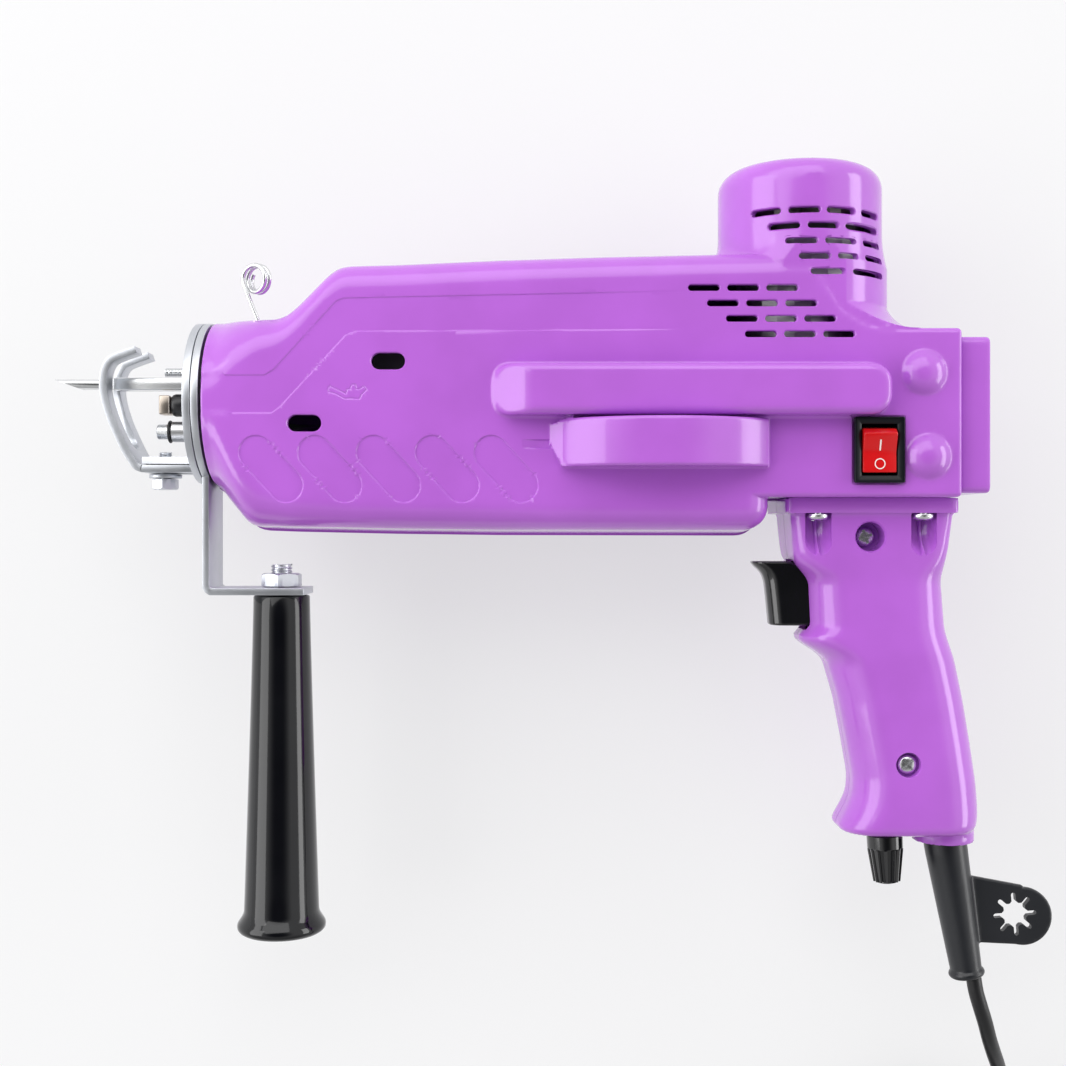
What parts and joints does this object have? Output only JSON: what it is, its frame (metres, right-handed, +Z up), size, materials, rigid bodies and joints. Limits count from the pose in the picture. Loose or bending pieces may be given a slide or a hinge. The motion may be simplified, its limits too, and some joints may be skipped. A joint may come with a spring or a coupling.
{
  "type": "handheld tufting machine",
  "caption": "Gun-shaped tufting machine with a purple moulded body, motor tower, pistol grip with trigger, black side handle, hollow needle, presser foot and coiled mains cord.",
  "frame": {"origin": "on the surface that the machine lies on, straight below the point where the crankshaft's axis meets the line of the needle's stroke", "axes": "+X from the needle to the rear cover, +Y up the motor tower and away from the grip, +Z up from the surface"},
  "size_m": [0.328, 0.4083, 0.0828],
  "materials": {
    "purple_plastic": "glossy moulded purple, fine marks and soft reflections",
    "gloss_black_plastic": "glossy black",
    "satin_black_plastic": "satin black",
    "black_rubber": "satin black, flexible",
    "red_plastic": "glossy red",
    "zinc_plated_steel": "zinc plated, fine brushed",
    "bright_steel": "ground and polished",
    "cast_aluminium": "as cast, machined where it runs",
    "bronze": "machined",
    "nylon": "natural nylon, satin",
    "wound_core": "lacquered copper windings on a steel core"
  },
  "bodies": {
    "machine": {"housing_near": "purple_plastic", "housing_far": "purple_plastic", "rear_cover": "purple_plastic", "grip_near": "purple_plastic", "grip_far": "purple_plastic", "side_handle": "gloss_black_plastic", "rocker_housing": "satin_black_plastic", "trigger_switch": "satin_black_plastic", "motor_end_cap": "satin_black_plastic", "stop_washer": "satin_black_plastic", "strain_relief": "black_rubber", "cord": "black_rubber", "cord_coil": "black_rubber", "plug": "black_rubber", "rod_ring": "black_rubber", "front_plate": "zinc_plated_steel", "handle_bracket": "zinc_plated_steel", "handle_stud": "zinc_plated_steel", "handle_nut": "zinc_plated_steel", "foot_bolt": "zinc_plated_steel", "foot_washer": "zinc_plated_steel", "nose_guide_block": "cast_aluminium", "gear_frame": "cast_aluminium", "stop_nut": "bronze", "crank_bearing_upper": "bronze", "crank_bearing_lower": "bronze", "yarn_eye": "bright_steel", "upper_guide_rod": "bright_steel", "lower_guide_rod": "bright_steel", "rod_collar": "bright_steel", "plate_stud": "bright_steel", "plate_nut": "bright_steel", "motor_can": "bright_steel", "speed_pot": "bright_steel", "grip_screw_upper": "bright_steel", "grip_screw_lower": "bright_steel", "flange_screw_near_front": "bright_steel", "flange_screw_near_rear": "bright_steel", "flange_screw_far_front": "bright_steel", "flange_screw_far_rear": "bright_steel", "housing_screw_rear": "bright_steel", "housing_screw_front": "bright_steel", "housing_screw_top": "bright_steel"},
    "needle_carriage": {"slider_block": "cast_aluminium", "needle_bar": "bright_steel", "needle": "bright_steel", "wrist_pin": "bright_steel"},
    "conrod": {"connecting_rod": "cast_aluminium", "crank_pin": "bright_steel"},
    "crank": {"drive_gear": "nylon", "crankshaft": "bright_steel"},
    "rotor": {"motor_shaft": "bright_steel", "pinion": "bronze", "armature": "wound_core", "cooling_fan": "nylon"},
    "trigger_lever": {"trigger": "gloss_black_plastic"},
    "rocker_button": {"rocker": "red_plastic"},
    "speed_dial": {"speed_knob": "gloss_black_plastic"},
    "foot": {"presser_foot": "zinc_plated_steel"}
  },
  "joints": [
    {"name": "needle_stroke", "type": "slide", "parent": "machine", "child": "needle_carriage", "axis": [1, 0, 0], "range_m": [0, 0.024]},
    {"name": "wrist_pivot", "type": "hinge", "parent": "needle_carriage", "child": "conrod", "pos_m": [-0.078, 0, 0.0415], "axis": [0, 1, 0], "range_deg": [-11, 11]},
    {"name": "crank_spin", "type": "hinge", "parent": "machine", "child": "crank", "pos_m": [0, -0.0168, 0.0415], "axis": [0, 1, 0], "continuous": true},
    {"name": "motor_spin", "type": "hinge", "parent": "machine", "child": "rotor", "pos_m": [0.04625, -0.0168, 0.0415], "axis": [0, 1, 0], "continuous": true},
    {"name": "trigger_pull", "type": "slide", "parent": "machine", "child": "trigger_lever", "axis": [1, 0, 0], "range_m": [0, 0.006], "stiffness_N_per_m": 400, "springref_m": -0.003},
    {"name": "rocker_tip", "type": "hinge", "parent": "machine", "child": "rocker_button", "pos_m": [0.06575, -0.01895, 0.0653], "axis": [-1, 0, 0], "range_deg": [0, 18]},
    {"name": "speed_turn", "type": "hinge", "parent": "machine", "child": "speed_dial", "pos_m": [0.0735, -0.1306, 0.0415], "axis": [0.0506, -0.9987, 0], "range_deg": [0, 270]},
    {"name": "foot_setting", "type": "slide", "parent": "machine", "child": "foot", "axis": [-1, 0, 0], "range_m": [0, 0.008]}
  ],
  "couplings": [
    {"joint": "motor_spin", "follows": "crank_spin", "ratio": -3.625}
  ]
}
